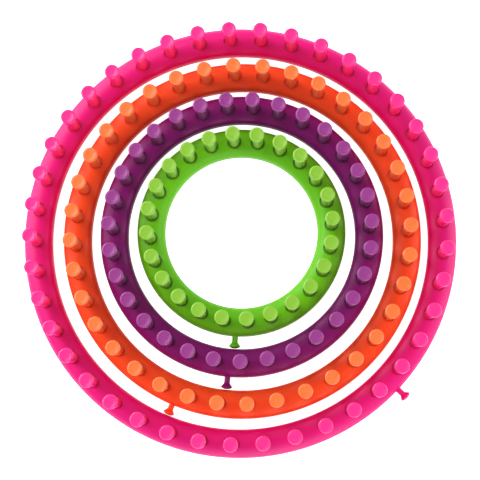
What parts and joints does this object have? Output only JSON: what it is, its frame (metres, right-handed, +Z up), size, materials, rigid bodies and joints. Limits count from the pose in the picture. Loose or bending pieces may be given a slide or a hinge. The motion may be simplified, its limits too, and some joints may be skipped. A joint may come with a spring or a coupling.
{
  "type": "nested round knitting loom set",
  "caption": "Nested set of round knitting looms: crowned plastic rings with grooved pressed-in pegs and a side anchor peg, loose in one another.",
  "frame": {"origin": "on the surface the looms stand on, under the middle of the extra-large ring", "axes": "+Z up along the pegs, +Y towards the top of the set as seen from above with the anchors of the inner looms at the bottom, +X to the right"},
  "size_m": [0.29, 0.29, 0.042],
  "materials": {
    "extra_large_ring": "satin moulded plastic",
    "extra_large_peg": "satin moulded plastic, lighter than the ring",
    "large_ring": "satin moulded plastic",
    "large_peg": "satin moulded plastic, lighter than the ring",
    "medium_ring": "satin moulded plastic",
    "medium_peg": "satin moulded plastic, lighter than the ring",
    "small_ring": "satin moulded plastic",
    "small_peg": "satin moulded plastic, lighter than the ring"
  },
  "bodies": {
    "extra_large_loom": {"extra_large_ring": "extra_large_ring", "extra_large_anchor": "extra_large_ring", "extra_large_pegs_1": "extra_large_peg", "extra_large_pegs_2": "extra_large_peg", "extra_large_pegs_3": "extra_large_peg", "extra_large_pegs_4": "extra_large_peg", "extra_large_pegs_5": "extra_large_peg", "extra_large_pegs_6": "extra_large_peg", "extra_large_pegs_7": "extra_large_peg", "extra_large_pegs_8": "extra_large_peg", "extra_large_pegs_9": "extra_large_peg", "extra_large_pegs_10": "extra_large_peg", "extra_large_pegs_11": "extra_large_peg", "extra_large_pegs_12": "extra_large_peg", "extra_large_pegs_13": "extra_large_peg", "extra_large_pegs_14": "extra_large_peg"},
    "large_loom": {"large_ring": "large_ring", "large_anchor": "large_ring", "large_pegs_1": "large_peg", "large_pegs_2": "large_peg", "large_pegs_3": "large_peg", "large_pegs_4": "large_peg", "large_pegs_5": "large_peg", "large_pegs_6": "large_peg", "large_pegs_7": "large_peg", "large_pegs_8": "large_peg", "large_pegs_9": "large_peg", "large_pegs_10": "large_peg", "large_pegs_11": "large_peg", "large_pegs_12": "large_peg"},
    "medium_loom": {"medium_ring": "medium_ring", "medium_anchor": "medium_ring", "medium_pegs_1": "medium_peg", "medium_pegs_2": "medium_peg", "medium_pegs_3": "medium_peg", "medium_pegs_4": "medium_peg", "medium_pegs_5": "medium_peg", "medium_pegs_6": "medium_peg", "medium_pegs_7": "medium_peg", "medium_pegs_8": "medium_peg", "medium_pegs_9": "medium_peg", "medium_pegs_10": "medium_peg", "medium_pegs_11": "medium_peg"},
    "small_loom": {"small_ring": "small_ring", "small_anchor": "small_ring", "small_pegs_1": "small_peg", "small_pegs_2": "small_peg", "small_pegs_3": "small_peg", "small_pegs_4": "small_peg", "small_pegs_5": "small_peg", "small_pegs_6": "small_peg", "small_pegs_7": "small_peg", "small_pegs_8": "small_peg", "small_pegs_9": "small_peg", "small_pegs_10": "small_peg", "small_pegs_11": "small_peg", "small_pegs_12": "small_peg"}
  },
  "joints": [
    {"name": "large_loom_lift", "type": "slide", "parent": "extra_large_loom", "child": "large_loom", "axis": [0, 0, 1], "range_m": [0, 0.06]},
    {"name": "medium_loom_lift", "type": "slide", "parent": "extra_large_loom", "child": "medium_loom", "axis": [0, 0, 1], "range_m": [0, 0.06]},
    {"name": "small_loom_lift", "type": "slide", "parent": "extra_large_loom", "child": "small_loom", "axis": [0, 0, 1], "range_m": [0, 0.06]}
  ]
}
